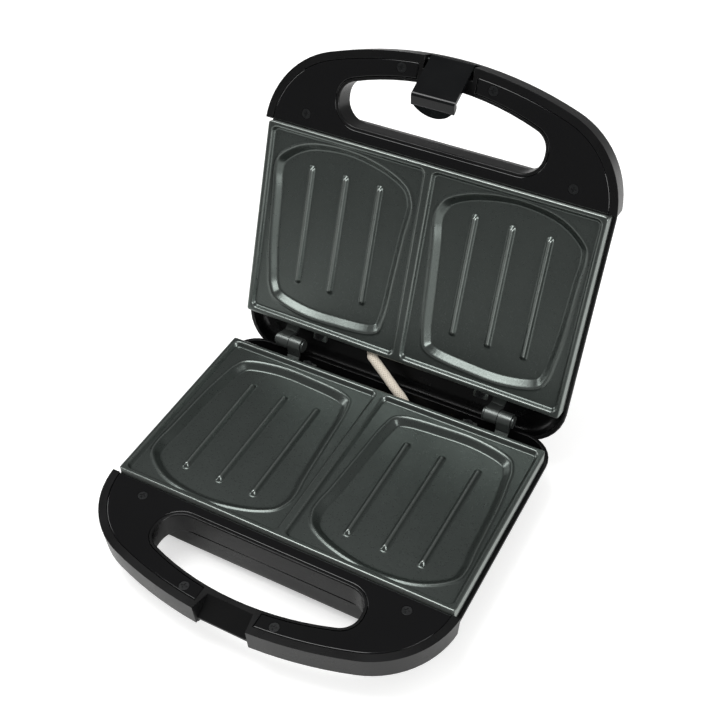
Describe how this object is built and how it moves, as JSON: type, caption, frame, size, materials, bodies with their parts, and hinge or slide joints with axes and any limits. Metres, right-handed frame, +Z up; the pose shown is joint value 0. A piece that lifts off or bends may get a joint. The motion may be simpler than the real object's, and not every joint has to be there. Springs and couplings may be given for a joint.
{
  "type": "sandwich toaster",
  "caption": "Hinged countertop sandwich toaster with ribbed non-stick plates, looped handles with finger slots, and a swinging latch, shown open.",
  "frame": {"origin": "on the table, under the centre of the open toaster's bounding box", "axes": "+X to the right as seen from the handle, +Y from the handle to the hinge, +Z up"},
  "size_m": [0.2378, 0.3009, 0.2394],
  "materials": {
    "housing_plastic": "satin black",
    "cover_plastic": "gloss black",
    "nonstick_casting": "dark non-stick coat on cast aluminium",
    "reflector_sheet": "bright sheet",
    "rod_sheath": "oxidised",
    "ceramic_parts": "unglazed",
    "lead_sheath": "matt",
    "sleeve_fabric": "braided",
    "gland_plastic": "satin",
    "foot_rubber": "matt",
    "latch_plastic": "gloss black",
    "hinge_steel": "grey semi-gloss",
    "steel_parts": "plain",
    "dark_screws": "blackened"
  },
  "bodies": {
    "base": {"base_housing": "housing_plastic", "base_handle_cover": "cover_plastic", "base_cover_screws": "dark_screws", "base_plate": "nonstick_casting", "base_plate_screws": "steel_parts", "base_reflector": "reflector_sheet", "base_heating_rod": "rod_sheath", "base_rod_insulators": "ceramic_parts", "base_rod_clamps": "steel_parts", "base_clamp_screws": "steel_parts", "thermostat": "ceramic_parts", "thermal_fuse": "ceramic_parts", "base_terminal_block": "ceramic_parts", "base_leads": "lead_sheath", "cord_gland": "gland_plastic", "foot_front_left": "foot_rubber", "foot_front_right": "foot_rubber", "foot_rear_left": "foot_rubber", "foot_rear_right": "foot_rubber", "base_hinge_left": "hinge_steel", "base_hinge_right": "hinge_steel", "base_hinge_screws": "steel_parts", "hinge_pin_left": "steel_parts", "hinge_pin_right": "steel_parts", "connecting_lead": "sleeve_fabric"},
    "lid": {"lid_housing": "housing_plastic", "lid_handle_cover": "cover_plastic", "lid_cover_screws": "dark_screws", "lid_plate": "nonstick_casting", "lid_plate_screws": "steel_parts", "lid_reflector": "reflector_sheet", "lid_heating_rod": "rod_sheath", "lid_rod_insulators": "ceramic_parts", "lid_rod_clamps": "steel_parts", "lid_clamp_screws": "steel_parts", "lid_terminal_block": "ceramic_parts", "lid_leads": "lead_sheath", "lid_hinge_left": "hinge_steel", "lid_hinge_right": "hinge_steel", "lid_hinge_screws": "steel_parts"},
    "latch": {"latch": "latch_plastic", "latch_pin": "steel_parts"}
  },
  "joints": [
    {"name": "lid_hinge", "type": "hinge", "parent": "base", "child": "lid", "pos_m": [0, 0.06072, 0.042], "axis": [1, 0, 0], "range_deg": [0, 110], "deforming": ["connecting_lead"]},
    {"name": "latch_swing", "type": "hinge", "parent": "lid", "child": "latch", "pos_m": [0, 0.14028, 0.23428], "axis": [1, 0, 0], "range_deg": [-43, 0]}
  ],
  "couplings": [
    {"joint": "latch_swing", "follows": "lid_hinge", "ratio": -0.3909}
  ]
}
